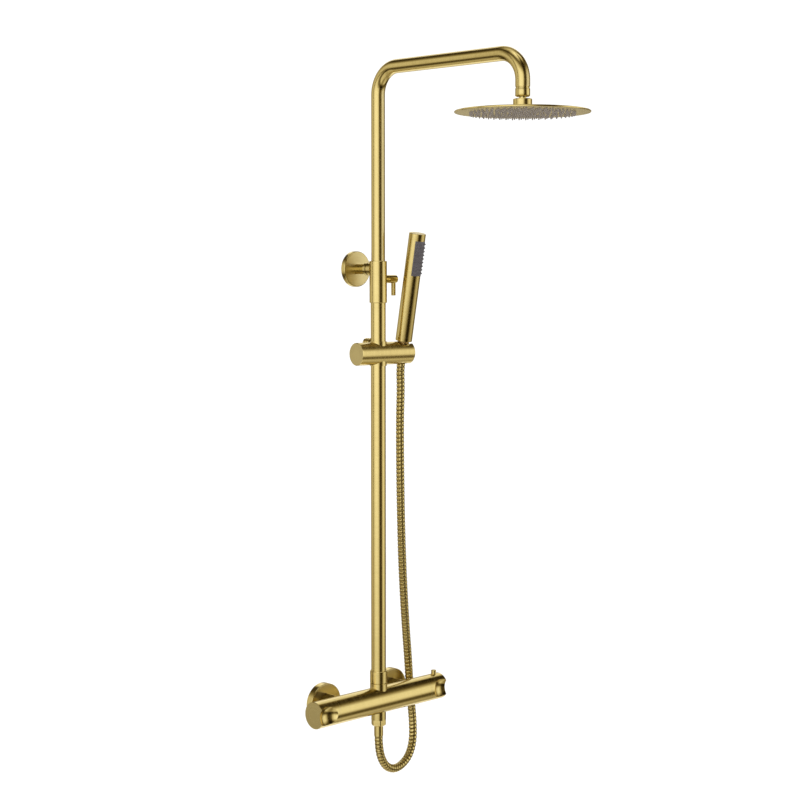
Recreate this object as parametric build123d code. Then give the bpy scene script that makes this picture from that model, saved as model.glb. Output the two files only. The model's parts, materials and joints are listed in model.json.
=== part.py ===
from build123d import *
import math
import os

os.makedirs("parts", exist_ok=True)

# A wall-mounted thermostatic rainfall shower column.
# Units are millimetres. X runs along the valve bar, +Y runs into the wall and +Z is up.
# The origin is on the wall, midway between the two inlets, at the height of the bar's axis.

# ---- driving dimensions ----
inlet_pitch = 150.0
axis_to_wall = 56.0
running_gap = 0.05
clear_gap = 0.3

bar_r = 21.5
bar_half = 103.0
knob_length = 38.0

escutcheon_r = 32.0
escutcheon_depth = 12.0
inlet_thread_r = 10.48
inlet_tail = 18.0
tail_bore_r = 7.0
check_valve_r = 7.3
union_bore_r = 13.0
union_circumradius = 17.3
union_start = 14.5
union_end = 34.0
connector_end = 29.0
washer_depth = 1.8

cartridge_bore_r = 15.0
cartridge_inner = {"flow": -54.0, "thermostatic": 42.0}
waterway_r = 8.0

hub_r = 7.0
spindle_r = 3.0
knob_bore_r = 17.5
knob_hollow_end = 108.0
grub_screw_x = 112.0
scoop_r = 22.0
scoop_distance = 32.0
scoop_centre = 128.5
button_x = 128.5
button_r = 4.2
button_top = 28.0
button_bottom = 15.0
spring_bottom = 9.0

collar_r = 14.0
collar_bottom = 29.0
collar_top = 49.0
foot_seal_height = 38.0

outlet_end = -32.0
outlet_thread_end = -37.0
hose_nut_end = -42.0
hose_bore_r = 4.5

lower_pipe_r = 12.0
lower_pipe_wall = 0.7
lower_pipe_top = 679.0
upper_pipe_r = 11.0
upper_pipe_wall = 1.0
upper_pipe_bottom = 430.0
arm_height = 1017.0
arm_reach = 304.0
pipe_bend_r = 42.0
drop_end = 966.0

sleeve_bottom = 646.0
sleeve_top = 713.0
sleeve_r = 14.0
bracket_height = 700.0
bracket_shaft_r = 8.0
bracket_ring_r = 10.8
bracket_rings = ((26.5, 20.5), (19.3, 10.0))
rosette_r = 28.75
rosette_depth = 8.0
bracket_screw_pitch = 32.0
bracket_screw_r = 2.0
bracket_screw_length = 21.0
lock_boss_end = 16.0
lock_screw_r = 3.0
lock_screw_end = 28.0
lock_height = 684.0
lock_r = 6.5
lock_end = 39.0
lock_pin_x = 34.0
lock_pin_r = 3.6
lock_pin_bottom = 657.5

head_r = 100.0
head_bottom = 928.0
head_rim_width = 3.0
head_collar_bottom = 936.4
head_collar_top = 948.0
arm_nut_bottom = 951.0
ball_height = 942.0
ball_r = 8.0
nozzle_rings = 8
nozzle_ring_pitch = 9.6
nozzle_length = 4.6

holder_height = 565.0
holder_r = 18.25
holder_left = -45.0
holder_right = 63.0
holder_turn = -5.0
socket_place = 49.7
handset_lean = 11.4
bush_r = 13.5
bush_half = 19.6
socket_r = 11.5
socket_bottom = -15.5
socket_top = 16.5
hose_slot = 15.2
clamp_height = 16.0
clamp_r = 8.0
clamp_start = 17.0
clamp_end = 31.0
clamp_screw_r = 2.5

handset_r = 13.5
handset_length = 196.0
cone_bottom = -15.0
cone_top = 16.0
tube_bottom = 20.0
tail_end = 28.0
cap_height = 5.0
spray_low = 128.5
spray_high = 184.5
spray_half_width = 10.0

hose_r = 6.8
hose_route = [
    (0.0, -56.0, -59.0),
    (0.0, -56.0, -84.0),
    (17.0, -51.5, -113.0),
    (43.0, -44.5, -127.0),
    (68.5, -38.5, -127.5),
    (92.0, -34.5, -115.5),
    (108.0, -28.0, -93.0),
    (112.5, -22.5, -57.5),
    (106.5, -22.0, -13.5),
    (101.0, -23.0, 45.5),
    (86.0, -31.5, 110.0),
    (69.0, -41.0, 210.5),
    (54.5, -51.5, 330.0),
    (52.0, -52.5, 450.5),
    (52.5, -54.5, 509.0),
    (50.0, -55.2, 539.5),
    (49.4, -61.1, 568.9),
]

# ---- places worked out from them ----
axis_y = -axis_to_wall
knob_end = bar_half + knob_length
arm_end_y = axis_y - arm_reach
lower_pipe_bore = lower_pipe_r - lower_pipe_wall
upper_pipe_bore = upper_pipe_r - upper_pipe_wall
seal_path_r = lower_pipe_bore - 1.0


def rod(radius, start, end):
    """A solid cylinder between two points."""
    axis = Vector(*end) - Vector(*start)
    return Solid.make_cylinder(radius, axis.length, Plane(Vector(*start), z_dir=axis))


def pipe(outer, inner, start, end):
    """A straight tube between two points."""
    return rod(outer, start, end) - rod(inner, start, end)


def taper(radius_start, radius_end, start, end):
    """A cone frustum between two points."""
    axis = Vector(*end) - Vector(*start)
    plane = Plane(Vector(*start), z_dir=axis)
    return Solid.make_cone(radius_start, radius_end, axis.length, plane)


def turned(profile, centre=(0, 0, 0)):
    """A solid of revolution about a vertical axis: profile is a list of (radius, height) points."""
    outline = Polyline(*[(r, 0, z) for r, z in profile], close=True)
    solid = revolve(make_face(outline), Axis.Z, 360)
    return solid.moved(Location(centre))


def ring_seal(radius, section, centre, direction):
    """A round O-ring."""
    plane = Plane(Vector(*centre), z_dir=Vector(*direction))
    return Solid.make_torus(radius, section, plane)


def hexagon(circumradius, start, end):
    """A hexagonal prism between two points, with its outer corners taken off."""
    axis = Vector(*end) - Vector(*start)
    plane = Plane(Vector(*start), z_dir=axis)
    prism = extrude(plane * RegularPolygon(circumradius, 6), axis.length)
    return prism & rod(circumradius * 0.965, start, end)


def save(node, shape):
    """Writes one node to its own file."""
    shape.label = node
    export_step(shape, os.path.join("parts", node + ".step"))


def at_bar(x, y=0.0, z=0.0):
    """A point given from the bar's axis."""
    return (x, axis_y + y, z)


# ---- inlets: wall connectors, covers, union nuts, seals and check valves ----
def inlet_connector(x):
    tail = rod(inlet_thread_r, (x, inlet_tail, 0), (x, 0, 0))
    waist = rod(12.0, (x, 0, 0), (x, -escutcheon_depth, 0))
    thread = rod(union_bore_r - 0.1, (x, -escutcheon_depth, 0), (x, -connector_end, 0))
    bore = rod(tail_bore_r, (x, inlet_tail, 0), (x, -14, 0))
    bore += rod(check_valve_r + 0.4, (x, -14, 0), (x, -connector_end, 0))
    return tail + waist + thread - bore


def escutcheon(x):
    cover = rod(escutcheon_r, (x, 0, 0), (x, -escutcheon_depth, 0))
    rims = cover.edges().filter_by(GeomType.CIRCLE).sort_by(Axis.Y)
    cover = fillet(rims[0], 1.2)
    cavity = rod(escutcheon_r - 3.0, (x, 0, 0), (x, 2.5 - escutcheon_depth, 0))
    hole = rod(12.3, (x, 0, 0), (x, -escutcheon_depth, 0))
    return cover - cavity - hole


def union_nut(x):
    ends = ((x, -union_start, 0), (x, -union_end, 0))
    return hexagon(union_circumradius, *ends) - rod(union_bore_r, *ends)


def check_valve(x):
    shell = rod(check_valve_r, (x, -15, 0), (x, -27, 0)) - rod(5.5, (x, -17, 0), (x, -27, 0))
    ports = [(x + 3.8, 0), (x - 3.8, 0), (x, 3.8), (x, -3.8)]
    for port_x, port_z in ports:
        shell -= rod(1.2, (port_x, -15, port_z), (port_x, -17, port_z))
    return shell + rod(2.5, (x, -16, 0), (x, -25, 0))


inlet_places = {"left": -inlet_pitch / 2, "right": inlet_pitch / 2}
for side, x in inlet_places.items():
    save("inlet_connector_" + side, inlet_connector(x))
    save("escutcheon_" + side, escutcheon(x))
    save("union_nut_" + side, union_nut(x))
save("check_valves", Compound([check_valve(x) for x in inlet_places.values()]))
washer_start = connector_end + 0.1
washer_end = washer_start + washer_depth
washers = [pipe(12.5, 7.6, (x, -washer_start, 0), (x, -washer_end, 0)) for x in inlet_places.values()]
save("filter_washers", Compound(washers))

# ---- valve bar, its two cartridges and their retaining nuts ----
def valve_body():
    body = rod(bar_r, at_bar(-bar_half), at_bar(bar_half))
    body += rod(collar_r, at_bar(0), at_bar(0, 0, collar_bottom - 1.0))
    for x in inlet_places.values():
        body += rod(union_bore_r - 0.1, at_bar(x), (x, -31, 0))
    body += rod(lower_pipe_bore - 0.1, at_bar(0), at_bar(0, 0, collar_top - 4))
    body -= rod(cartridge_bore_r, at_bar(-bar_half), at_bar(cartridge_inner["flow"]))
    body -= rod(cartridge_bore_r, at_bar(bar_half), at_bar(cartridge_inner["thermostatic"]))
    body -= rod(waterway_r, at_bar(cartridge_inner["flow"]), at_bar(cartridge_inner["thermostatic"]))
    body -= rod(waterway_r, at_bar(0, 0, -bar_r - 1), at_bar(0, 0, collar_top))
    for x in inlet_places.values():
        body -= rod(7.6, at_bar(x), (x, -31, 0))
    return body - ring_seal(seal_path_r, 1.0, at_bar(0, 0, foot_seal_height), (0, 0, 1))


def cartridge(sign, inner, outer, spindle_end):
    """A ported cylinder with a blind bore for its spindle."""
    radius = cartridge_bore_r - 0.15
    block = rod(radius, at_bar(inner), at_bar(outer))
    for step in (14.0, 26.0):
        start = inner + sign * step
        block -= pipe(radius + 1, radius - 1.6, at_bar(start), at_bar(start + sign * 3.0))
    port = rod(3.2, at_bar(inner + sign * 20), at_bar(inner + sign * 20, radius + 1))
    block -= port
    return block - rod(spindle_r + running_gap, at_bar(spindle_end), at_bar(outer))


def retaining_nut(sign):
    outer = sign * (bar_half - 0.2)
    inner = sign * (bar_half - 4.8)
    return pipe(cartridge_bore_r - 0.1, 8.0, at_bar(inner), at_bar(outer))


save("valve_body", valve_body())
thermostatic_start = cartridge_inner["thermostatic"] + 0.5
flow_start = cartridge_inner["flow"] - 0.5
cartridge_end = bar_half - 5.0
save("thermostatic_cartridge", cartridge(1, thermostatic_start, cartridge_end, 60.0))
save("flow_cartridge", cartridge(-1, flow_start, -cartridge_end, -72.0))
save("thermostat_retaining_nut", retaining_nut(1))
save("flow_retaining_nut", retaining_nut(-1))

# ---- the two control knobs ----
def knob(sign):
    """A hollow cap with a hub on the spindle and a rounded thumb scoop cut into its front."""
    start = sign * (bar_half + clear_gap)
    end = sign * knob_end
    cap = rod(bar_r, at_bar(start), at_bar(end))
    rims = cap.edges().filter_by(GeomType.CIRCLE).sort_by(Axis.X)
    cap = chamfer(rims[-1] if sign > 0 else rims[0], 0.6)
    cap -= pipe(knob_bore_r, hub_r, at_bar(start), at_bar(sign * knob_hollow_end))
    cap -= rod(hub_r, at_bar(start), at_bar(sign * (bar_half + 2.0)))
    cap -= rod(spindle_r + 0.02, at_bar(start), at_bar(sign * 118.5))
    cap -= Solid.make_sphere(scoop_r, Plane(Vector(*at_bar(sign * scoop_centre, -scoop_distance))))
    return cap - rod(1.6, at_bar(sign * grub_screw_x, 0, -bar_r - 1), at_bar(sign * grub_screw_x))


def spindle(sign, inner):
    tip = rod(spindle_r, at_bar(inner), at_bar(sign * 118.0))
    return tip - rod(1.5, at_bar(sign * grub_screw_x, 0, -4), at_bar(sign * grub_screw_x, 0, -2.4))


def grub_screw(sign):
    place = sign * grub_screw_x
    screw = rod(1.5, at_bar(place, 0, -8), at_bar(place, 0, -2.5))
    return screw - rod(0.8, at_bar(place, 0, -8), at_bar(place, 0, -6))


def button_spring():
    bottom = spring_bottom + 0.6
    coil = Helix(1.5, 4.5, 2.6).moved(Location(at_bar(button_x, 0, bottom)))
    section = Plane(coil @ 0, z_dir=coil % 0) * Circle(0.4)
    return sweep(section, path=coil, is_frenet=True)


button_pocket = rod(button_r + running_gap, at_bar(button_x, 0, spring_bottom), at_bar(button_x, 0, 30))
save("temperature_knob", knob(1) - button_pocket)
save("thermostat_spindle", spindle(1, 61.0))
save("thermostat_grub_screw", grub_screw(1))
save("flow_knob", knob(-1))
save("flow_spindle", spindle(-1, -73.0))
save("flow_grub_screw", grub_screw(-1))
button = rod(button_r, at_bar(button_x, 0, button_bottom), at_bar(button_x, 0, button_top))
button = chamfer(button.edges().filter_by(GeomType.CIRCLE).sort_by(Axis.Z)[-1], 0.5)
save("safety_button", button)
save("button_spring", button_spring())

# ---- riser foot and lower riser ----
save("riser_foot_seal", ring_seal(seal_path_r, 0.95, at_bar(0, 0, foot_seal_height), (0, 0, 1)))
foot_collar = rod(collar_r, at_bar(0, 0, collar_bottom), at_bar(0, 0, collar_top))
collar_rims = foot_collar.edges().filter_by(GeomType.CIRCLE).sort_by(Axis.Z)
foot_collar = chamfer([collar_rims[0], collar_rims[-1]], 0.5)
foot_bore = rod(lower_pipe_r + 0.03, at_bar(0, 0, collar_bottom), at_bar(0, 0, collar_top))
save("riser_foot_collar", foot_collar - foot_bore)
lower_ends = (at_bar(0, 0, collar_bottom - 0.9), at_bar(0, 0, lower_pipe_top))
save("lower_riser", pipe(lower_pipe_r, lower_pipe_bore, *lower_ends))

# ---- hose outlet under the bar ----
hose_start = hose_route[0][2]


def outlet_nipple():
    saddle = rod(12.0, at_bar(0, 0, outlet_end), at_bar(0)) - rod(bar_r + 0.02, at_bar(-20), at_bar(20))
    thread = rod(8.8, at_bar(0, 0, outlet_end), at_bar(0, 0, outlet_thread_end))
    return saddle + thread - rod(5.0, at_bar(0, 0, outlet_thread_end), at_bar(0))


def hose_nut():
    nut = hexagon(12.6, at_bar(0, 0, outlet_end - 0.1), at_bar(0, 0, hose_nut_end))
    bevel = taper(9.6, 12.6, at_bar(0, 0, hose_nut_end), at_bar(0, 0, hose_nut_end + 2.2))
    bevel += rod(12.6, at_bar(0, 0, hose_nut_end + 2.2), at_bar(0, 0, outlet_end))
    nut = nut & bevel
    nut -= rod(8.9, at_bar(0, 0, outlet_end), at_bar(0, 0, -40.4))
    return nut - rod(7.5, at_bar(0, 0, -40.4), at_bar(0, 0, hose_nut_end))


def hose_ferrule():
    flange = rod(8.7, at_bar(0, 0, -38.8), at_bar(0, 0, -40.3))
    barrel = rod(7.4, at_bar(0, 0, -40.3), at_bar(0, 0, hose_start))
    return flange + barrel - rod(hose_bore_r, at_bar(0, 0, -38.8), at_bar(0, 0, hose_start))


save("outlet_nipple", outlet_nipple())
save("hose_nut", hose_nut())
save("hose_washer", pipe(8.7, hose_bore_r, at_bar(0, 0, -37.1), at_bar(0, 0, -38.7)))
save("hose_ferrule", hose_ferrule())

# ---- the hose: straight runs joined by tangent arcs ----
corners = [Vector(*point) for point in hose_route]
hose_radii = []
for before, corner, after in zip(corners, corners[1:], corners[2:]):
    first, second = corner - before, after - corner
    half_turn = math.radians(first.get_angle(second)) / 2
    hose_radii.append(0.45 * min(first.length, second.length) / math.tan(half_turn))
hose_path = FilletPolyline(*hose_route, radius=hose_radii)
hose_section = Plane(corners[0], z_dir=corners[1] - corners[0]) * Circle(hose_r)
hose = sweep(hose_section, path=hose_path)
print("hose radii", [round(radius) for radius in hose_radii])
print("hose length", round(hose_path.length, 1))
print("hose volume over section times length", hose.volume / (math.pi * hose_r**2 * hose_path.length))
save("hose", hose)

# ---- wall bracket and the sleeve over the telescopic joint ----
def riser_sleeve():
    sleeve = rod(sleeve_r, at_bar(0, 0, sleeve_bottom), at_bar(0, 0, sleeve_top))
    rims = sleeve.edges().filter_by(GeomType.CIRCLE).sort_by(Axis.Z)
    sleeve = chamfer([rims[0], rims[-1]], 0.8)
    sleeve += rod(lock_r, at_bar(0, 0, lock_height), at_bar(lock_boss_end, 0, lock_height))
    step = lower_pipe_top + 0.2
    sleeve -= rod(lower_pipe_r + 0.03, at_bar(0, 0, sleeve_bottom), at_bar(0, 0, step))
    sleeve -= rod(upper_pipe_r + 0.08, at_bar(0, 0, step), at_bar(0, 0, sleeve_top))
    screw_hole = (at_bar(0, 0, lock_height), at_bar(lock_boss_end, 0, lock_height))
    return sleeve - rod(lock_screw_r + running_gap, *screw_hole)


def bracket_shaft():
    back = (0, 0.3 - rosette_depth, bracket_height)
    shaft = rod(bracket_shaft_r, at_bar(0, 0, bracket_height), back)
    for start, end in bracket_rings:
        ring = rod(bracket_ring_r, at_bar(0, start, bracket_height), at_bar(0, end, bracket_height))
        shaft += chamfer(ring.edges().filter_by(GeomType.CIRCLE).sort_by(Axis.Y)[-1], 0.8)
    shaft -= rod(sleeve_r + 0.02, at_bar(0, 0, sleeve_bottom), at_bar(0, 0, sleeve_top))
    return shaft - rod(6.05, (0, -22, bracket_height), back)


def wall_rosette():
    front = (0, -rosette_depth, bracket_height)
    cover = rod(rosette_r, (0, 0, bracket_height), front)
    cover = fillet(cover.edges().filter_by(GeomType.CIRCLE).sort_by(Axis.Y)[0], 1.5)
    cover -= rod(rosette_r - 2, (0, 0, bracket_height), (0, 2 - rosette_depth, bracket_height))
    return cover - rod(bracket_shaft_r + 0.1, (0, 0, bracket_height), front)


bracket_screw_heights = [bracket_height + side * bracket_screw_pitch / 2 for side in (-1, 1)]


def bracket_base():
    plate = rod(23, (0, 0, bracket_height), (0, -4, bracket_height))
    plate += rod(6, (0, -4, bracket_height), (0, -21, bracket_height))
    for height in bracket_screw_heights:
        plate -= rod(bracket_screw_r + 0.3, (0, 0, height), (0, -4, height))
    return plate


def wall_screw(height):
    thread_end = bracket_screw_length - 3
    screw = rod(bracket_screw_r, (0, thread_end, height), (0, 0, height))
    screw += taper(0.5, bracket_screw_r, (0, bracket_screw_length, height), (0, thread_end, height))
    screw += rod(bracket_screw_r + 0.2, (0, 0, height), (0, -4.1, height))
    return screw + taper(4.0, 3.2, (0, -4.1, height), (0, -5.8, height))


save("riser_sleeve", riser_sleeve())
save("bracket_shaft", bracket_shaft())
save("wall_rosette", wall_rosette())
save("bracket_base", bracket_base())
save("wall_screws", Compound([wall_screw(height) for height in bracket_screw_heights]))

# ---- lock lever on the sleeve ----
lock_start = lock_boss_end + clear_gap
pin_ends = (at_bar(lock_pin_x, 0, lock_height), at_bar(lock_pin_x, 0, lock_pin_bottom))


def lock_barrel():
    barrel = rod(lock_r, at_bar(lock_start, 0, lock_height), at_bar(lock_end, 0, lock_height))
    barrel = fillet(barrel.edges().filter_by(GeomType.CIRCLE).sort_by(Axis.X)[-1], 1.0)
    barrel -= rod(lock_screw_r, at_bar(lock_start, 0, lock_height), at_bar(lock_screw_end, 0, lock_height))
    return barrel - rod(lock_pin_r, *pin_ends)


def lock_pin():
    pin = rod(lock_pin_r, *pin_ends)
    return chamfer(pin.edges().filter_by(GeomType.CIRCLE).sort_by(Axis.Z)[0], 0.4)


lock_screw_ends = (at_bar(11.5, 0, lock_height), at_bar(lock_screw_end - 0.1, 0, lock_height))
save("lock_barrel", lock_barrel())
save("lock_pin", lock_pin())
save("lock_screw", rod(lock_screw_r, *lock_screw_ends))

# ---- telescopic upper riser and its guide ----
guide_bottom = upper_pipe_bottom - 14.0
guide_step = upper_pipe_bottom - 0.2
guide_top = upper_pipe_bottom + 14.0
guide_seal_place = at_bar(0, 0, guide_bottom + 7)


def riser_guide():
    guide = rod(lower_pipe_bore - 0.08, at_bar(0, 0, guide_bottom), at_bar(0, 0, guide_step))
    guide += rod(upper_pipe_bore - 0.08, at_bar(0, 0, guide_step), at_bar(0, 0, guide_top))
    guide -= ring_seal(seal_path_r, 0.9, guide_seal_place, (0, 0, 1))
    return guide - rod(7, at_bar(0, 0, guide_bottom), at_bar(0, 0, guide_top))


upper_route = [
    at_bar(0, 0, upper_pipe_bottom),
    at_bar(0, 0, arm_height),
    (0, arm_end_y, arm_height),
    (0, arm_end_y, drop_end),
]
upper_path = FilletPolyline(*upper_route, radius=pipe_bend_r)
upper_section = Plane(upper_path @ 0, z_dir=upper_path % 0) * (Circle(upper_pipe_r) - Circle(upper_pipe_bore))
save("upper_riser", sweep(upper_section, path=upper_path))
save("riser_guide", riser_guide())
save("guide_seal", ring_seal(seal_path_r, 0.85, guide_seal_place, (0, 0, 1)))

# ---- rain head on its ball joint ----
head_axis = (0, arm_end_y, 0)
ball_place = Plane((0, arm_end_y, ball_height))
nut_top = drop_end - 1.0
stem_top = drop_end + 6.0


def arm_nut():
    profile = [
        (8.0, arm_nut_bottom),
        (9.6, arm_nut_bottom),
        (upper_pipe_r, arm_nut_bottom + 1.4),
        (upper_pipe_r, nut_top),
        (upper_pipe_bore - 0.1, nut_top),
        (upper_pipe_bore - 0.1, stem_top),
        (8.0, stem_top),
    ]
    return turned(profile, head_axis)


def head_ball():
    ball = Solid.make_sphere(ball_r, ball_place)
    neck = rod(5.2, (0, arm_end_y, ball_height), (0, arm_end_y, arm_nut_bottom + 1))
    stem = rod(7.95, (0, arm_end_y, arm_nut_bottom + 1), (0, arm_end_y, stem_top))
    return ball + neck + stem - rod(3.2, (0, arm_end_y, ball_height - ball_r), (0, arm_end_y, stem_top))


def shell_slice(outer, inner, low, high):
    """A slice of a spherical shell round the ball's centre."""
    shell = Solid.make_sphere(outer, ball_place) - Solid.make_sphere(inner, ball_place)
    slab = rod(40, (0, arm_end_y, ball_height + low), (0, arm_end_y, ball_height + high))
    return shell & slab


def head_collar():
    bottom = (0, arm_end_y, head_collar_bottom)
    collar = rod(collar_r, bottom, (0, arm_end_y, head_collar_top))
    collar = chamfer(collar.edges().filter_by(GeomType.CIRCLE).sort_by(Axis.Z)[-1], 0.8)
    collar -= Solid.make_sphere(ball_r + clear_gap, ball_place)
    lower_room = rod(30, (0, arm_end_y, head_collar_bottom - 12), (0, arm_end_y, ball_height + 1.6))
    collar -= Solid.make_sphere(10.9, ball_place) & lower_room
    neck_room = ((0, arm_end_y, ball_height + 4), (0, arm_end_y, head_collar_top + 0.1))
    return collar - taper(7.25, 7.9, *neck_room)


def head_top_plate():
    profile = [
        (9.5, 936.3),
        (17, 936.3),
        (28, 934.0),
        (98.6, 930.8),
        (head_r, 929.8),
        (head_r, head_bottom + 0.5),
        (head_r - 0.6, head_bottom),
        (head_r - head_rim_width, head_bottom),
        (head_r - head_rim_width, head_bottom + 1.6),
        (28, 932.6),
        (17, 934.6),
        (9.5, 934.6),
    ]
    return turned(profile, head_axis)


def head_nozzles():
    """A centre nozzle and rings of nozzles, six more in each ring."""
    places = [(0.0, 0.0)]
    for ring in range(1, nozzle_rings + 1):
        count = 6 * ring
        for number in range(count):
            angle = math.tau * number / count
            radius = ring * nozzle_ring_pitch
            places.append((radius * math.cos(angle), radius * math.sin(angle)))
    nozzles = []
    for x, y in places:
        root = (x, arm_end_y + y, head_bottom - 0.05)
        tip = (x, arm_end_y + y, head_bottom - nozzle_length)
        nozzles.append(taper(1.7, 1.15, root, tip))
    return Compound(nozzles)


save("arm_nut", arm_nut())
save("head_ball", head_ball())
save("ball_seal", shell_slice(9.3, 8.3, -5.5, -0.5))
save("ball_cup", shell_slice(10.6, 9.6, -7.2, 0.8))
save("head_collar", head_collar())
save("head_top_plate", head_top_plate())
plate_ends = ((0, arm_end_y, head_bottom), (0, arm_end_y, head_bottom + 1.4))
save("head_spray_plate", rod(head_r - head_rim_width - 0.1, *plate_ends))
save("head_nozzles", head_nozzles())

# ---- hand-shower holder on the lower riser ----
holder_frame = Location(at_bar(0, 0, holder_height)) * Location((0, 0, 0), (0, 0, holder_turn))
handset_frame = holder_frame * Location((socket_place, 0, 0)) * Location((0, 0, 0), (handset_lean, 0, 0))


def holder_body():
    body = rod(holder_r, (holder_left, 0, 0), (holder_right, 0, 0))
    rims = body.edges().filter_by(GeomType.CIRCLE).sort_by(Axis.X)
    body = chamfer([rims[0], rims[-1]], 0.7)
    body += rod(6, (0, 5, clamp_height), (0, 15.5, clamp_height))
    body -= rod(bush_r + 0.08, (0, 0, -30), (0, 0, 30))
    body -= rod(2.6, (0, 5, clamp_height), (0, 15.5, clamp_height))
    socket = rod(socket_r + 0.05, (0, 0, -30), (0, 0, 30))
    slot = Box(40, hose_slot, 60).moved(Location((20, 0, 0)))
    lean = Location((socket_place, 0, 0)) * Location((0, 0, 0), (handset_lean, 0, 0))
    return body - (socket + slot).moved(lean)


def socket_liner():
    ends = ((0, 0, socket_bottom), (0, 0, socket_top))
    liner = rod(socket_r, *ends) - taper(8.5, 10.4, *ends)
    return liner - Box(40, hose_slot, 60).moved(Location((20, 0, 0)))


def clamp_knob():
    knob_solid = rod(clamp_r, (0, clamp_start, clamp_height), (0, clamp_end, clamp_height))
    knob_solid = chamfer(knob_solid.edges().filter_by(GeomType.CIRCLE), 0.6)
    for start in (20, 25):
        outer = (0, start, clamp_height), (0, start + 1.6, clamp_height)
        knob_solid -= pipe(clamp_r + 1, clamp_r - 0.9, *outer)
    return knob_solid - rod(clamp_screw_r, (0, clamp_start, clamp_height), (0, 27, clamp_height))


bush = pipe(bush_r, lower_pipe_r + 0.06, (0, 0, -bush_half), (0, 0, bush_half))
save("holder_bush", bush.moved(holder_frame))
save("holder_body", holder_body().moved(holder_frame))
save("socket_liner", socket_liner().moved(handset_frame))
save("clamp_knob", clamp_knob().moved(holder_frame))
clamp_screw = rod(clamp_screw_r, (0, 13.8, clamp_height), (0, 26.9, clamp_height))
save("clamp_screw", clamp_screw.moved(holder_frame))

# ---- handset, built upright on its own axis and then leaned into the holder ----
cap_seam = handset_length - cap_height


def cone_nut():
    nut = taper(8.15, 10.05, (0, 0, cone_bottom), (0, 0, cone_top))
    return nut - rod(7.2, (0, 0, cone_bottom), (0, 0, cone_top))


def handset_tail():
    tail = rod(7.12, (0, 0, 10), (0, 0, cone_top + 0.3)) + rod(9.0, (0, 0, cone_top + 0.3), (0, 0, tail_end))
    return tail - rod(4.2, (0, 0, 10), (0, 0, tail_end))


def handset_body():
    body = rod(handset_r, (0, 0, tube_bottom), (0, 0, cap_seam))
    body = fillet(body.edges().filter_by(GeomType.CIRCLE).sort_by(Axis.Z)[0], 0.8)
    body -= rod(handset_r - 2, (0, 0, tail_end), (0, 0, cap_seam))
    body -= rod(9.05, (0, 0, tube_bottom), (0, 0, tail_end))
    return body - spray_window(0.0)


def spray_window(shrink):
    """The block of the tube's wall that the spray panel fills, on the side away from the wall."""
    low, high = spray_low + shrink, spray_high - shrink
    half_width = spray_half_width - shrink
    block = Box(2 * half_width, handset_r, high - low)
    return block.moved(Location((0, -handset_r, (low + high) / 2)))


def spray_panel():
    wall = pipe(handset_r + 0.4, handset_r - 1.9, (0, 0, spray_low), (0, 0, spray_high))
    return wall & spray_window(0.1)


def handset_cap():
    cap = rod(handset_r, (0, 0, cap_seam + 0.05), (0, 0, handset_length))
    cap = fillet(cap.edges().filter_by(GeomType.CIRCLE).sort_by(Axis.Z)[-1], 1.2)
    return cap + rod(handset_r - 2.1, (0, 0, cap_seam - 4), (0, 0, cap_seam + 0.05))


waterway_ends = ((0, 0, tail_end + 0.1), (0, 0, spray_high - 2))
save("cone_nut", cone_nut().moved(handset_frame))
save("handset_tail", handset_tail().moved(handset_frame))
save("handset_body", handset_body().moved(handset_frame))
save("spray_panel", spray_panel().moved(handset_frame))
save("handset_waterway", pipe(6.0, 4.5, *waterway_ends).moved(handset_frame))
save("handset_cap", handset_cap().moved(handset_frame))
save("upper_ferrule", pipe(7.0, 4.5, (0, 0, 4.1), (0, 0, 9.6)).moved(handset_frame))
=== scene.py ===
"""Rainfall shower column in brushed gold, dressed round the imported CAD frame.

Units are metres, in the shared frame: origin on the wall midway between the inlets, +X along the bar, +Y into
the wall, +Z up. The CAD nodes keep their shapes. The hose, the rain head's nozzles, the hand shower's spray
panel, the nut on the end of the arm and the button's spring are modelled here in more detail and stand for
their CAD nodes.
"""
import json
import math

import bpy
import numpy as np
from mathutils import Matrix, Vector


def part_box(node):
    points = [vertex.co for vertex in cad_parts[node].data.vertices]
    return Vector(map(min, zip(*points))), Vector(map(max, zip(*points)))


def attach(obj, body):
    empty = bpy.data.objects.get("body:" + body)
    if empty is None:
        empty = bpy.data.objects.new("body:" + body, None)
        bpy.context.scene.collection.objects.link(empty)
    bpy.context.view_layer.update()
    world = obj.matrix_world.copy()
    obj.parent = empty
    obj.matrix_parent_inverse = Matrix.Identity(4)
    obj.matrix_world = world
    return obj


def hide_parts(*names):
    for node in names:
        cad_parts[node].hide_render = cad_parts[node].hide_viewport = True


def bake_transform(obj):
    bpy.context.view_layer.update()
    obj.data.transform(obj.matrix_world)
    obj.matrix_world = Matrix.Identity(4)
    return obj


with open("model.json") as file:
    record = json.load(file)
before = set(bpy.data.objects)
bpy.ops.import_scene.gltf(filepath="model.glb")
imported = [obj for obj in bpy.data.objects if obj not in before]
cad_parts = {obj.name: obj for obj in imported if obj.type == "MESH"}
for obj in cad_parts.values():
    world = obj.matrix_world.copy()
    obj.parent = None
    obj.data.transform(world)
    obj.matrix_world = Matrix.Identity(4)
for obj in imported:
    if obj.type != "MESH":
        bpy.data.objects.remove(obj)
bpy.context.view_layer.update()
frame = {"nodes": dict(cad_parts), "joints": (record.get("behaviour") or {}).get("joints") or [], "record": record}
nodes = frame["nodes"]
joints = {joint["name"]: joint for joint in frame["joints"]}
scene = bpy.context.scene

MM = 0.001

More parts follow.
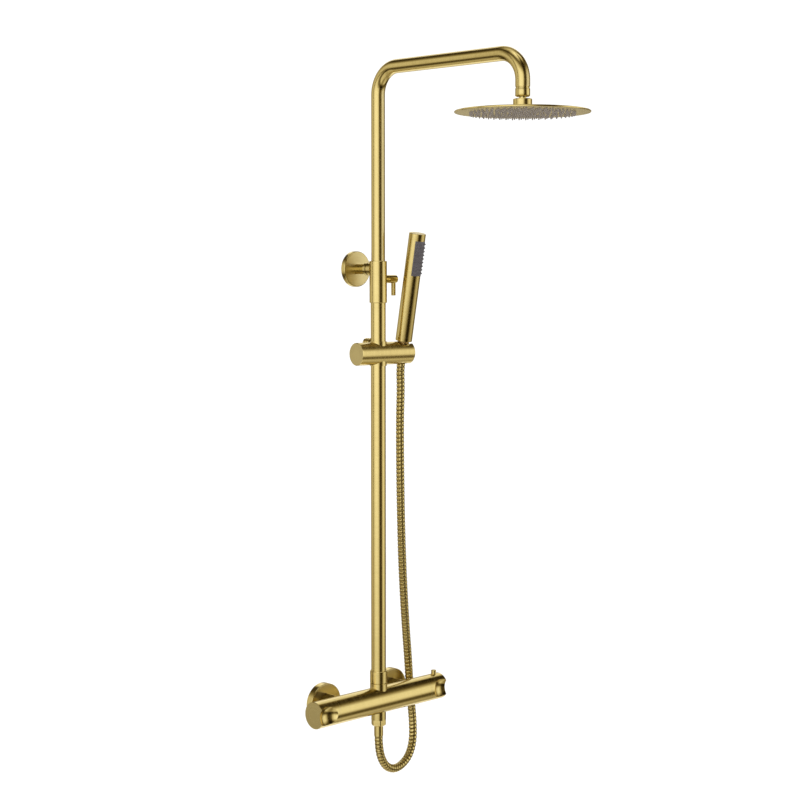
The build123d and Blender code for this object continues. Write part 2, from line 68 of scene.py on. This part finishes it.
# ---- places that the finishes are turned about ----
AXIS_Y = -56 * MM
COVER_X = 75 * MM
HOLDER_HEIGHT = 565 * MM
LOCK_HEIGHT = 684 * MM
ROSETTE_HEIGHT = 700 * MM
ARM_HEIGHT = 1017 * MM
main_axis = Vector((0.0, AXIS_Y, 0.0))
head_centre = Vector(joints["head_spin"]["pos_m"])
socket_centre = Vector(joints["handset_twist"]["pos_m"])
clamp_centre = Vector(joints["clamp_turn"]["pos_m"])
handset_axis = Vector(joints["handset_twist"]["axis"]).normalized()
across_holder = Vector(joints["clamp_turn"]["axis"]).normalized()
along_holder = across_holder.cross(Vector((0, 0, 1)))
spray_direction = along_holder.cross(handset_axis).normalized()
if spray_direction.y > 0:
    spray_direction = -spray_direction

# ---- colours, linear ----
GOLD = (0.74, 0.60, 0.25)
GOLD_WORN = (0.88, 0.77, 0.42)
GOLD_DEEP = (0.62, 0.48, 0.17)
GOLD_SATIN = (0.72, 0.62, 0.34)
# painted shade: the dark colour given to the faces deep in each groove of the hose
GROOVE_PAINTED_SHADE = (0.16, 0.11, 0.03)
SILICONE = (0.078, 0.068, 0.074)
SILICONE_PALE = (0.25, 0.215, 0.185)


# ---- camera ----
CAMERA_PLACE = (-1.8925, -2.0166, 0.7002)
CAMERA_DOWN_DEGREES = 4.408
CAMERA_TURN_DEGREES = -44.72
CAMERA_LENS = 76.5


def make_camera():
    camera = bpy.data.objects.new("camera", bpy.data.cameras.new("camera"))
    scene.collection.objects.link(camera)
    camera.location = CAMERA_PLACE
    camera.rotation_euler = (math.radians(90 - CAMERA_DOWN_DEGREES), 0.0, math.radians(CAMERA_TURN_DEGREES))
    camera.data.sensor_width = 36.0
    camera.data.lens = CAMERA_LENS
    camera.data.clip_end = 100.0
    scene.camera = camera


# ---- node helpers ----
class Graph:
    """A node tree with short calls for the nodes that the materials use."""

    def __init__(self, tree):
        self.tree = tree
        self.nodes = tree.nodes
        self.nodes.clear()

    def add(self, kind, **settings):
        node = self.nodes.new(kind)
        for key, value in settings.items():
            setattr(node, key, value)
        return node

    def link(self, source, target):
        self.tree.links.new(source, target)

    def feed(self, socket, value):
        if hasattr(value, "is_output"):
            self.link(value, socket)
        else:
            socket.default_value = value

    def math(self, operation, first, second=0.0):
        node = self.add("ShaderNodeMath", operation=operation)
        self.feed(node.inputs[0], first)
        self.feed(node.inputs[1], second)
        return node.outputs[0]

    def vector(self, operation, first, second=None, output="Vector"):
        node = self.add("ShaderNodeVectorMath", operation=operation)
        self.feed(node.inputs[0], first)
        if second is not None:
            self.feed(node.inputs[1], second)
        return node.outputs[output]

    def combine(self, x, y, z):
        node = self.add("ShaderNodeCombineXYZ")
        for socket, value in zip(node.inputs, (x, y, z)):
            self.feed(socket, value)
        return node.outputs[0]

    def noise(self, vector, scale, detail=2.0, roughness=0.5):
        node = self.add("ShaderNodeTexNoise")
        self.feed(node.inputs["Vector"], vector)
        node.inputs["Scale"].default_value = scale
        node.inputs["Detail"].default_value = detail
        node.inputs["Roughness"].default_value = roughness
        return node.outputs["Fac"]

    def spread(self, value, low, high, to_low=0.0, to_high=1.0):
        node = self.add("ShaderNodeMapRange")
        self.feed(node.inputs["Value"], value)
        node.inputs["From Min"].default_value = low
        node.inputs["From Max"].default_value = high
        node.inputs["To Min"].default_value = to_low
        node.inputs["To Max"].default_value = to_high
        return node.outputs["Result"]

    def mix_colour(self, factor, first, second):
        node = self.add("ShaderNodeMix", data_type="RGBA")
        self.feed(node.inputs["Factor"], factor)
        for socket, value in ((node.inputs["A"], first), (node.inputs["B"], second)):
            self.feed(socket, (*value, 1.0) if isinstance(value, tuple) else value)
        return node.outputs["Result"]

    def ramp(self, value, stops):
        node = self.add("ShaderNodeValToRGB")
        self.feed(node.inputs["Fac"], value)
        elements = node.color_ramp.elements
        while len(elements) < len(stops):
            elements.new(0.5)
        for element, (place, level) in zip(elements, stops):
            element.position = place
            element.color = (level, level, level, 1.0)
        return node.outputs["Color"]

    def edge_mask(self, radius):
        """1 along edges sharper than the radius, 0 elsewhere."""
        bevel = self.add("ShaderNodeBevel", samples=4)
        bevel.inputs["Radius"].default_value = radius
        geometry = self.add("ShaderNodeNewGeometry")
        same = self.vector("DOT_PRODUCT", bevel.outputs["Normal"], geometry.outputs["Normal"], "Value")
        return self.spread(same, 0.995, 0.90)

    def bump(self, height, strength, distance):
        node = self.add("ShaderNodeBump")
        self.feed(node.inputs["Height"], height)
        node.inputs["Strength"].default_value = strength
        node.inputs["Distance"].default_value = distance
        return node.outputs["Normal"]

    def shader(self, colour, roughness, normal, **constants):
        shader = self.add("ShaderNodeBsdfPrincipled")
        self.feed(shader.inputs["Base Color"], colour)
        self.feed(shader.inputs["Roughness"], roughness)
        self.feed(shader.inputs["Normal"], normal)
        for name, value in constants.items():
            shader.inputs[name.replace("_", " ")].default_value = value
        output = self.add("ShaderNodeOutputMaterial")
        self.link(shader.outputs[0], output.inputs["Surface"])


def new_material(name):
    material = bpy.data.materials.new(name)
    material.use_nodes = True
    return material, Graph(material.node_tree)


# ---- materials ----
BRUSHED_GRAIN = 2600.0
HOSE_GRAIN = 900.0
LINE_STRETCH = 30.0
LINES_IN_BAND = 9
PATCH_SCALE = 22.0
FLAT_ROUGHER = 0.12


def brushed_metal(name, axis, centre, colours=(GOLD_DEEP, GOLD, GOLD_WORN), roughness=0.175,
                  grain=BRUSHED_GRAIN, edge=0.5 * MM):
    """Metal turned and brushed about an axis: the lines run round it, on its sides and its flat ends."""
    material, g = new_material(name)
    deep, colour, worn = colours
    coordinates = g.add("ShaderNodeTexCoord")
    place = coordinates.outputs["Object"]
    offset = g.vector("SUBTRACT", place, tuple(centre))
    along = g.vector("DOT_PRODUCT", offset, tuple(axis), "Value")
    out = g.vector("LENGTH", g.vector("CROSS_PRODUCT", offset, tuple(axis)), None, "Value")
    across_lines = g.math("ADD", along, out)
    split = g.add("ShaderNodeSeparateXYZ")
    g.link(offset, split.inputs[0])
    slow = [g.math("MULTIPLY", split.outputs[i], LINE_STRETCH) for i in (0, 2)]
    lines = g.noise(g.combine(g.math("MULTIPLY", across_lines, grain), *slow), 1.0, 2.0, 0.5)
    bands = g.noise(g.combine(g.math("MULTIPLY", across_lines, grain / LINES_IN_BAND), *slow), 1.0, 1.0)
    patches = g.noise(place, PATCH_SCALE, 3.0)
    tint = g.mix_colour(g.spread(patches, 0.3, 0.7, 0.0, 0.15), colour, deep)
    tint = g.mix_colour(g.spread(lines, 0.3, 0.7, 0.0, 0.16), tint, worn)
    edges = g.edge_mask(edge)
    tint = g.mix_colour(g.math("MULTIPLY", edges, g.spread(patches, 0.3, 0.7, 0.35, 0.85)), tint, worn)
    rough = g.math("ADD", g.spread(bands, 0.3, 0.7, roughness - 0.03, roughness + 0.04),
                   g.spread(patches, 0.3, 0.7, -0.01, 0.01))
    rough = g.math("SUBTRACT", rough, g.math("MULTIPLY", edges, 0.05))
    straight = g.vector("DOT_PRODUCT", coordinates.outputs["Normal"], tuple(axis), "Value")
    flat = g.spread(g.math("ABSOLUTE", straight), 0.90, 0.98)
    tint = g.mix_colour(g.math("MULTIPLY", flat, 0.7), tint, GOLD_SATIN)
    rough = g.math("ADD", rough, g.math("MULTIPLY", flat, FLAT_ROUGHER))
    normal = g.bump(lines, 0.022, 0.05 * MM)
    g.shader(tint, rough, normal, Metallic=1.0)
    return material


def cast_metal(name, colour, roughness):
    """Plain machined or cast metal for what is inside or behind: fine isotropic grain, light stains."""
    material, g = new_material(name)
    place = g.add("ShaderNodeTexCoord").outputs["Object"]
    grain = g.noise(place, 1800.0, 2.0)
    stains = g.noise(place, 90.0, 4.0)
    darker = tuple(0.6 * level for level in colour)
    worn = tuple(min(1.0, 1.3 * level) for level in colour)
    tint = g.mix_colour(g.spread(stains, 0.4, 0.75, 0.0, 0.5), colour, darker)
    tint = g.mix_colour(g.math("MULTIPLY", g.edge_mask(0.3 * MM), 0.5), tint, worn)
    rough = g.spread(stains, 0.3, 0.7, roughness - 0.05, roughness + 0.08)
    g.shader(tint, rough, g.bump(grain, 0.2, 0.05 * MM), Metallic=1.0)
    return material


def moulded(name, colour, roughness, sheen=0.0):
    """Silicone, rubber or plastic with a fine moulded grain and a little dust in its colour."""
    material, g = new_material(name)
    place = g.add("ShaderNodeTexCoord").outputs["Object"]
    grain = g.noise(place, 2400.0, 2.0)
    dust = g.noise(place, 140.0, 4.0, 0.6)
    paler = tuple(min(1.0, 1.45 * level + 0.02) for level in colour)
    tint = g.mix_colour(g.spread(dust, 0.4, 0.7, 0.0, 0.45), colour, paler)
    tint = g.mix_colour(g.math("MULTIPLY", g.edge_mask(0.25 * MM), 0.4), tint, paler)
    rough = g.spread(dust, 0.3, 0.7, roughness - 0.06, roughness + 0.06)
    g.shader(tint, rough, g.bump(grain, 0.25, 0.04 * MM), Sheen_Weight=sheen)
    return material


def make_materials():
    x_axis, y_axis, z_axis = (Vector(row) for row in Matrix.Identity(3))
    left, right = (-COVER_X, 0, 0), (COVER_X, 0, 0)
    rosette, arm = (0, 0, ROSETTE_HEIGHT), (0, 0, ARM_HEIGHT)
    lock, holder = (0, AXIS_Y, LOCK_HEIGHT), (0, AXIS_Y, HOLDER_HEIGHT)
    painted_groove_shade = (GROOVE_PAINTED_SHADE,) * 3
    return {
        "gold_z": brushed_metal("brushed_gold_upright", z_axis, main_axis),
        "gold_x": brushed_metal("brushed_gold_bar", x_axis, main_axis),
        "gold_left_nut": brushed_metal("brushed_gold_left_nut", y_axis, left, edge=1.1 * MM),
        "gold_right_nut": brushed_metal("brushed_gold_right_nut", y_axis, right, edge=1.1 * MM),
        "gold_left_cover": brushed_metal("brushed_gold_left_cover", y_axis, left),
        "gold_right_cover": brushed_metal("brushed_gold_right_cover", y_axis, right),
        "gold_rosette": brushed_metal("brushed_gold_rosette", y_axis, rosette),
        "gold_lock": brushed_metal("brushed_gold_lock", x_axis, lock),
        "gold_arm": brushed_metal("brushed_gold_arm", y_axis, arm),
        "gold_head": brushed_metal("brushed_gold_head", z_axis, head_centre),
        "gold_holder": brushed_metal("brushed_gold_holder", along_holder, holder, roughness=0.24),
        "gold_clamp": brushed_metal("brushed_gold_clamp", across_holder, clamp_centre),
        "gold_handset": brushed_metal("brushed_gold_handset", handset_axis, socket_centre),
        "gold_hose": brushed_metal("brushed_gold_hose", z_axis, (0, 0, 0), roughness=0.24, grain=HOSE_GRAIN),
        # painted shade for the faces deep in each groove of the hose: a dark, rougher copy of its gold
        "hose_painted_groove_shade": brushed_metal("brushed_gold_hose_painted_groove_shade", z_axis, (0, 0, 0), painted_groove_shade, 0.4, HOSE_GRAIN),
        "brass": cast_metal("plain_brass_cast", (0.62, 0.43, 0.17), 0.42),
        "steel": cast_metal("plain_steel_turned", (0.52, 0.52, 0.51), 0.34),
        "silicone": moulded("grey_silicone_moulded", SILICONE, 0.5, 0.1),
        "nozzles": moulded("grey_silicone_nozzles", SILICONE_PALE, 0.46, 0.15),
        "rubber": moulded("seal_rubber_moulded", (0.02, 0.02, 0.021), 0.6, 0.1),
        "plastic": moulded("inner_plastic_moulded", (0.46, 0.47, 0.48), 0.42),
    }


# the gold nodes that aren't turned about the riser, by the finish that they take
GOLD_NODES = {
    "gold_x": ("valve_body", "temperature_knob", "flow_knob", "safety_button"),
    "gold_left_cover": ("escutcheon_left", "inlet_connector_left"),
    "gold_right_cover": ("escutcheon_right", "inlet_connector_right"),
    "gold_left_nut": ("union_nut_left",),
    "gold_right_nut": ("union_nut_right",),
    "gold_rosette": ("wall_rosette", "bracket_shaft"),
    "gold_lock": ("lock_barrel", "lock_pin"),
    "gold_head": ("head_collar", "head_top_plate", "head_spray_plate", "arm_nut", "head_ball"),
    "gold_holder": ("holder_body",),
    "gold_clamp": ("clamp_knob",),
    "gold_handset": ("handset_body", "handset_cap", "cone_nut"),
    "gold_arm": ("upper_riser",),
}
FINISH_BY_SLOT = {
    "brushed_gold": "gold_z",
    "hose_gold": "gold_z",
    "plain_brass": "brass",
    "plain_steel": "steel",
    "grey_silicone": "silicone",
    "seal_rubber": "rubber",
    "inner_plastic": "plastic",
}


def dress_cad_nodes(materials):
    finish = {part["node"]: FINISH_BY_SLOT[part["material_slot"]] for part in frame["record"]["subparts"]}
    for key, names in GOLD_NODES.items():
        for node in names:
            if finish.get(node) == "gold_z":
                finish[node] = key
    for name, obj in nodes.items():
        for material_slot in obj.material_slots:
            material_slot.material = materials[finish[name]]


# ---- mesh helpers ----
def mesh_object(name, points, faces, material, smooth_angle=40.0):
    mesh = bpy.data.meshes.new(name)
    mesh.from_pydata([tuple(p) for p in points], [], faces)
    mesh.validate()
    mesh.polygons.foreach_set("use_smooth", [True] * len(mesh.polygons))
    mesh.set_sharp_from_angle(angle=math.radians(smooth_angle))
    mesh.materials.append(material)
    obj = bpy.data.objects.new(name, mesh)
    scene.collection.objects.link(obj)
    return obj


def ring_faces(rings, segments):
    """Faces of a closed shape whose points are a pole, its rings one after another, and the other pole."""
    faces = []
    last = 1 + rings * segments
    for step in range(segments):
        following = (step + 1) % segments
        faces.append((0, 1 + following, 1 + step))
        for ring in range(rings - 1):
            low = 1 + ring * segments
            high = low + segments
            faces.append((low + step, low + following, high + following, high + step))
        top = 1 + (rings - 1) * segments
        faces.append((last, top + step, top + following))
    return faces


def lathe_rings(profile, segments, base, axis, side):
    """Points and faces of a turned solid; the profile is (radius, height) from one pole to the other."""
    other = axis.cross(side).normalized()
    points = [base + axis * profile[0][1]]
    for radius, height in profile[1:-1]:
        for step in range(segments):
            turn = 2 * math.pi * step / segments
            points.append(base + axis * height + (side * math.cos(turn) + other * math.sin(turn)) * radius)
    points.append(base + axis * profile[-1][1])
    return points, ring_faces(len(profile) - 2, segments)


def gather(parts):
    """Joins (points, faces) pairs into one pair."""
    all_points, all_faces = [], []
    for points, faces in parts:
        start = len(all_points)
        all_points += points
        all_faces += [tuple(start + i for i in face) for face in faces]
    return all_points, all_faces


# ---- hose ----
HOSE_ROUTE = [Vector(p) * MM for p in (
    (0, -56, -59), (0, -56, -84), (17, -51.5, -113), (43, -44.5, -127), (68.5, -38.5, -127.5),
    (92, -34.5, -115.5), (108, -28, -93), (112.5, -22.5, -57.5), (106.5, -22, -13.5), (101, -23, 45.5),
    (86, -31.5, 110), (69, -41, 210.5), (54.5, -51.5, 330), (52, -52.5, 450.5), (52.5, -54.5, 509),
    (50, -55.2, 539.5), (49.4, -61.1, 568.9))]
HOSE_DIAMETER = 13.6 * MM
HOSE_RIB_PITCH = 6.4 * MM
HOSE_GROOVE = 1.3 * MM
HOSE_GROOVE_SHADE = 0.4
HOSE_SPLIT_HEIGHT = 430 * MM
HOSE_STEP = 0.8 * MM
HOSE_SEGMENTS = 28


def hose_line():
    """Points close together on the smooth line of the route."""
    curve = bpy.data.curves.new("hose_route", "CURVE")
    curve.dimensions = "3D"
    spline = curve.splines.new("NURBS")
    spline.points.add(len(HOSE_ROUTE) - 1)
    for point, place in zip(spline.points, HOSE_ROUTE):
        point.co = (*place, 1.0)
    spline.order_u = 3
    spline.use_endpoint_u = True
    spline.resolution_u = 48
    route = bpy.data.objects.new("hose_route", curve)
    scene.collection.objects.link(route)
    line = bpy.data.meshes.new_from_object(route)
    points = np.array([v.co for v in line.vertices], float)
    bpy.data.objects.remove(route)
    bpy.data.meshes.remove(line)
    lengths = np.r_[0.0, np.cumsum(np.linalg.norm(np.diff(points, axis=0), axis=1))]
    places = np.linspace(0.0, lengths[-1], round(lengths[-1] / HOSE_STEP) + 1)
    return np.column_stack([np.interp(places, lengths, points[:, i]) for i in range(3)]), places


def tube(name, line, radii, material, smooth_angle):
    """A closed tube along a line; radii has a row for each point of the line and a column for each side."""
    tangents = np.gradient(line, axis=0)
    tangents /= np.linalg.norm(tangents, axis=1)[:, None]
    side = np.cross(tangents[0], (0.0, 1.0, 0.0))
    segments = radii.shape[1]
    turns = 2 * np.pi * np.arange(segments) / segments
    points = [Vector(line[0])]
    for centre, tangent, radius in zip(line, tangents, radii):
        side = side - tangent * side.dot(tangent)
        side /= np.linalg.norm(side)
        other = np.cross(tangent, side)
        ring = centre + radius[:, None] * (np.cos(turns)[:, None] * side + np.sin(turns)[:, None] * other)
        points += [Vector(p) for p in ring]
    points.append(Vector(line[-1]))
    return mesh_object(name, points, ring_faces(len(line), segments), material, smooth_angle)


def hose_piece(name, line, places, material, groove_shade_material):
    """A helically ribbed metal tube along part of the line, with painted shade on the faces deep in each groove.
    """
    sides = np.arange(HOSE_SEGMENTS) / HOSE_SEGMENTS
    phase = (places[:, None] / HOSE_RIB_PITCH - sides) % 1.0
    dips = np.abs(2 * phase - 1.0) ** 5
    hose = tube(name, line, HOSE_DIAMETER / 2 - HOSE_GROOVE * dips, material, 80.0)
    hose.data.materials.append(groove_shade_material)
    dip_by_point = np.r_[0.0, dips.ravel(), 0.0]
    for polygon in hose.data.polygons:
        # faces deep in a groove take the dark material, which is painted shade
        polygon.material_index = int(dip_by_point[list(polygon.vertices)].mean() > HOSE_GROOVE_SHADE)
    return hose


def make_hose(materials):
    line, places = hose_line()
    split = max(i for i in range(len(line)) if line[i][2] <= HOSE_SPLIT_HEIGHT)
    finishes = (materials["gold_hose"], materials["hose_painted_groove_shade"])
    lower = hose_piece("hose_lower", line[:split + 1], places[:split + 1], *finishes)
    upper = hose_piece("hose_upper", line[split:], places[split:], *finishes)
    bottom, middle, top = line[0], line[split], line[-1]
    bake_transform(lower)
    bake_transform(upper)
    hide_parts("hose")
    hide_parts("hose")


# ---- spring under the safety button ----
SPRING_X = 128.5 * MM
SPRING_R = 2.6 * MM
SPRING_WIRE_R = 0.4 * MM
SPRING_BOTTOM = 9.6 * MM
SPRING_TOP = 14.1 * MM
SPRING_TURNS = 3
SPRING_POINTS_PER_TURN = 40
SPRING_SEGMENTS = 10


def make_spring(materials):
    share = np.linspace(0.0, 1.0, SPRING_POINTS_PER_TURN * SPRING_TURNS)
    turns = 2 * np.pi * SPRING_TURNS * share
    heights = SPRING_BOTTOM + (SPRING_TOP - SPRING_BOTTOM) * share
    line = np.column_stack([SPRING_X + SPRING_R * np.cos(turns), AXIS_Y + SPRING_R * np.sin(turns), heights])
    radii = np.full((len(line), SPRING_SEGMENTS), SPRING_WIRE_R)
    spring = tube("button_spring_coil", line, radii, materials["steel"], 60.0)
    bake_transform(spring)
    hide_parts("button_spring")


# ---- rain head nozzles ----
NOZZLE_RINGS = 8
NOZZLE_RING_PITCH = 9.6 * MM
NOZZLE_SEGMENTS = 14
NOZZLE_PROFILE = [(r * MM, h * MM) for r, h in (
    (0.0, 0.0), (1.7, 0.0), (1.7, 0.3), (1.5, 0.6), (1.3, 1.1), (1.0, 3.9), (0.9, 4.45), (0.75, 4.6),
    (0.45, 4.55), (0.38, 3.6), (0.0, 3.55))]


def make_nozzles(materials):
    root_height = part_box("head_nozzles")[1][2]
    side, down = Vector((1, 0, 0)), Vector((0, 0, -1))
    places = [(0.0, 0.0)]
    for ring in range(1, NOZZLE_RINGS + 1):
        radius = ring * NOZZLE_RING_PITCH
        for step in range(6 * ring):
            turn = 2 * math.pi * step / (6 * ring)
            places.append((radius * math.cos(turn), radius * math.sin(turn)))
    roots = [Vector((head_centre.x + x, head_centre.y + y, root_height)) for x, y in places]
    parts = [lathe_rings(NOZZLE_PROFILE, NOZZLE_SEGMENTS, root, down, side) for root in roots]
    nozzles = mesh_object("rain_nozzles", *gather(parts), materials["nozzles"])
    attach(nozzles, "rain_head")
    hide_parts("head_nozzles")


# ---- nut on the end of the arm, with the groove round its top ----
NUT_SEGMENTS = 64
NUT_PROFILE = [(r * MM, h * MM) for r, h in (
    (8.0, 951.0), (9.5, 951.0), (9.7, 951.1), (10.85, 952.2), (11.0, 952.5), (11.0, 962.6), (10.85, 962.9),
    (10.2, 963.0), (10.0, 963.2), (10.0, 964.6), (10.2, 964.8), (10.85, 964.85), (10.95, 965.0), (9.9, 965.0),
    (9.9, 972.0), (8.0, 972.0))]


def make_arm_nut(materials):
    points, faces = [], []
    for radius, height in NUT_PROFILE:
        for step in range(NUT_SEGMENTS):
            turn = 2 * math.pi * step / NUT_SEGMENTS
            across, forward = radius * math.cos(turn), radius * math.sin(turn)
            points.append((head_centre.x + across, head_centre.y + forward, height))
    rings = len(NUT_PROFILE)
    for ring in range(rings):
        low, high = ring * NUT_SEGMENTS, (ring + 1) % rings * NUT_SEGMENTS
        for step in range(NUT_SEGMENTS):
            following = (step + 1) % NUT_SEGMENTS
            faces.append((low + step, low + following, high + following, high + step))
    nut = mesh_object("arm_nut_grooved", points, faces, materials["gold_head"])
    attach(nut, "arm")
    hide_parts("arm_nut")


# ---- spray panel of the hand shower ----
PANEL_LOW = 128.6 * MM
PANEL_HIGH = 184.4 * MM
PANEL_HALF_WIDTH = 9.9 * MM
PANEL_OUTER_R = 13.9 * MM
PANEL_INNER_R = 11.7 * MM
PANEL_ROUNDING = ((0.0, 0.5 * MM), (0.15 * MM, 0.2 * MM), (0.5 * MM, 0.03 * MM), (1.0 * MM, 0.0))
PANEL_ROWS = 9
PANEL_COLUMNS = (-36, -18, 0, 18, 36)
PANEL_ROW_PITCH = 5.9 * MM
NUB_SEGMENTS = 14
NUB_PROFILE = [(r * MM, h * MM) for r, h in (
    (0.0, -0.3), (1.75, -0.3), (1.7, 0.15), (1.35, 0.4), (1.1, 0.8), (0.95, 1.4), (0.75, 1.6), (0.45, 1.58),
    (0.38, 0.9), (0.0, 0.85))]


def panel_stations(low, high, count):
    """Places from low to high, closer together at the rounded ends, each with the face's set-back there."""
    *rounded, (flat_from, _) = PANEL_ROUNDING
    inner = np.linspace(low + flat_from, high - flat_from, count)
    first = [(low + step, drop) for step, drop in rounded]
    last = [(high - step, drop) for step, drop in reversed(rounded)]
    return first + [(place, 0.0) for place in inner] + last


def panel_point(across, height, radius, drop):
    front = math.sqrt(radius ** 2 - across ** 2) - drop
    return socket_centre + along_holder * across + spray_direction * front + handset_axis * height


def make_spray_panel(materials):
    """A curved silicone panel with rounded edges and rows of rubbing nubs, each with its own jet hole."""
    columns = panel_stations(-PANEL_HALF_WIDTH, PANEL_HALF_WIDTH, 22)
    rows = panel_stations(PANEL_LOW, PANEL_HIGH, 24)
    front = [panel_point(x, t, PANEL_OUTER_R, max(dx, dt)) for t, dt in rows for x, dx in columns]
    back = [panel_point(x, t, PANEL_INNER_R, 0.0) for t, _ in rows for x, _ in columns]
    wide, tall = len(columns), len(rows)
    faces = []
    for row in range(tall - 1):
        for column in range(wide - 1):
            a = row * wide + column
            faces.append((a, a + 1, a + wide + 1, a + wide))
            faces.append(tuple(len(front) + i for i in (a + wide, a + wide + 1, a + 1, a)))
    rim = list(range(wide))
    rim += [row * wide + wide - 1 for row in range(1, tall)]
    rim += [(tall - 1) * wide + column for column in range(wide - 2, -1, -1)]
    rim += [row * wide for row in range(tall - 2, 0, -1)]
    for first, second in zip(rim, rim[1:] + rim[:1]):
        faces.append((second, first, len(front) + first, len(front) + second))
    parts = [(front + back, faces)]
    middle = (PANEL_LOW + PANEL_HIGH) / 2
    for row in range(PANEL_ROWS):
        height = middle + (row - (PANEL_ROWS - 1) / 2) * PANEL_ROW_PITCH
        for degrees in PANEL_COLUMNS:
            turn = math.radians(degrees)
            out = along_holder * math.sin(turn) + spray_direction * math.cos(turn)
            base = socket_centre + handset_axis * height + out * PANEL_OUTER_R
            parts.append(lathe_rings(NUB_PROFILE, NUB_SEGMENTS, base, out, handset_axis))
    panel = mesh_object("spray_panel_nubs", *gather(parts), materials["silicone"])
    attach(panel, "handset")
    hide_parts("spray_panel")


# ---- light and floor ----
# The surroundings that the gold mirrors: brightness by degrees round from the object's front left, times
# brightness by degrees above the horizon. They are fixed to the room.
FRONT_SIDE = math.degrees(math.atan2(-0.7105, -0.7037))
LEVELS_BY_AZIMUTH = (
    (-180, 0.45), (-130, 0.45), (-112, 0.60), (-88, 0.80), (-80, 0.08), (-70, 0.90), (-40, 1.30), (-4, 1.20),
    (10, 0.75), (22, 0.08), (52, 0.05), (62, 0.60), (80, 1.15), (104, 0.95), (122, 0.25), (140, 0.20),
    (180, 0.45))
LEVELS_BY_HEIGHT = (
    (-90, 0.30), (-58, 0.35), (-44, 0.45), (-36, 0.12), (-24, 0.12), (-14, 0.80), (-6, 1.0), (20, 1.0),
    (30, 0.50), (40, 0.10), (50, 0.10), (62, 0.80), (90, 0.95))
# what faces down towards the floor's glow and up towards the ceiling, all the way round
GLOW_BY_HEIGHT = (
    (-90, 0.30), (-60, 0.30), (-44, 0.40), (-38, 0.08), (-34, 0.0), (60, 0.0), (75, 0.30), (90, 0.40))
# two strips behind the object, which the edges of its round parts mirror
BEHIND_BY_AZIMUTH = ((-180, 0.9), (-158, 0.9), (-146, 0.0), (146, 0.0), (158, 0.9), (180, 0.9))
BEHIND_BY_HEIGHT = (
    (-90, 0), (-52, 0), (-45, 1), (-22, 1), (-15, 0), (15, 0), (22, 1), (45, 1), (52, 0), (90, 0))
BRIGHTEST = 1.45
GREEN_FALL = 1.1
BLUE_FALL = 1.4
PLAIN_WHITE = (1.12, 1.12, 1.12)


def by_azimuth(levels):
    return [((degrees + 180) / 360, level / BRIGHTEST) for degrees, level in levels]


def by_height(levels, brightest=1.0):
    return [((degrees + 90) / 180, level / brightest) for degrees, level in levels]


def make_world():
    """Soft boxes and dark gaps for the gold to mirror; plain white to the eye and to diffuse light."""
    world = bpy.data.worlds.new("studio")
    world.use_nodes = True
    scene.world = world
    g = Graph(world.node_tree)
    direction = g.add("ShaderNodeTexCoord").outputs["Generated"]
    split = g.add("ShaderNodeSeparateXYZ")
    g.link(direction, split.inputs[0])
    turn = g.math("ARCTAN2", split.outputs["Y"], split.outputs["X"])
    turn = g.math("SUBTRACT", turn, math.radians(FRONT_SIDE))
    turn = g.math("WRAP", turn, math.pi)
    turn.node.inputs[2].default_value = -math.pi
    share = g.spread(turn, -math.pi, math.pi)
    height = g.spread(g.math("ARCSINE", split.outputs["Z"]), -math.pi / 2, math.pi / 2)
    around = g.ramp(share, by_azimuth(LEVELS_BY_AZIMUTH))
    upward = g.ramp(height, by_height(LEVELS_BY_HEIGHT))
    glow = g.ramp(height, by_height(GLOW_BY_HEIGHT, BRIGHTEST))
    behind = g.ramp(share, by_azimuth(BEHIND_BY_AZIMUTH))
    strips = g.ramp(height, by_height(BEHIND_BY_HEIGHT))
    level = g.math("ADD", g.math("MULTIPLY", around, upward), glow)
    level = g.math("ADD", level, g.math("MULTIPLY", behind, strips))
    warm = g.combine(level, g.math("POWER", level, GREEN_FALL), g.math("POWER", level, BLUE_FALL))
    pattern = g.vector("SCALE", warm)
    pattern.node.inputs["Scale"].default_value = BRIGHTEST
    path = g.add("ShaderNodeLightPath")
    plain = g.math("MAXIMUM", path.outputs["Is Camera Ray"], path.outputs["Is Diffuse Ray"])
    colour = g.mix_colour(plain, pattern, PLAIN_WHITE)
    background = g.add("ShaderNodeBackground")
    g.link(colour, background.inputs["Color"])
    background.inputs["Strength"].default_value = 1.0
    output = g.add("ShaderNodeOutputWorld")
    g.link(background.outputs[0], output.inputs["Surface"])


FLOOR_RADIUS = 4.2
FLOOR_SIDES = 96
FLOOR_PLACE = (0, -0.2, -0.42)


def make_floor():
    material, g = new_material("pale_floor")
    place = g.add("ShaderNodeTexCoord").outputs["Object"]
    cloud = g.noise(place, 3.0, 3.0)
    tint = g.mix_colour(cloud, (0.93, 0.93, 0.925), (0.96, 0.96, 0.955))
    g.shader(tint, g.spread(cloud, 0.3, 0.7, 0.7, 0.8), g.bump(g.noise(place, 300.0), 0.05, MM))
    turns = [2 * math.pi * i / FLOOR_SIDES for i in range(FLOOR_SIDES)]
    rim = [(FLOOR_RADIUS * math.cos(turn), FLOOR_RADIUS * math.sin(turn), 0) for turn in turns]
    floor = mesh_object("floor", rim, [tuple(range(FLOOR_SIDES))], material)
    floor.location = FLOOR_PLACE
    floor.visible_glossy = False


LAMP_PLACE = (-1.2, -1.6, 3.6)
LAMP_TARGET = (0, -0.1, 0.4)
LAMP_SIZE = 3.0
LAMP_POWER = 60.0


def make_light():
    light = bpy.data.lights.new("overhead_soft_box", "AREA")
    light.shape = "DISK"
    light.size = LAMP_SIZE
    light.energy = LAMP_POWER
    lamp = bpy.data.objects.new("overhead_soft_box", light)
    scene.collection.objects.link(lamp)
    lamp.visible_glossy = False
    lamp.location = LAMP_PLACE
    lamp.rotation_euler = (Vector(LAMP_TARGET) - lamp.location).to_track_quat("-Z", "Y").to_euler()


make_camera()
materials = make_materials()
make_hose(materials)
make_nozzles(materials)
make_spring(materials)
make_arm_nut(materials)
make_spray_panel(materials)
dress_cad_nodes(materials)
make_world()
make_floor()
make_light()
scene.view_settings.view_transform = "Standard"
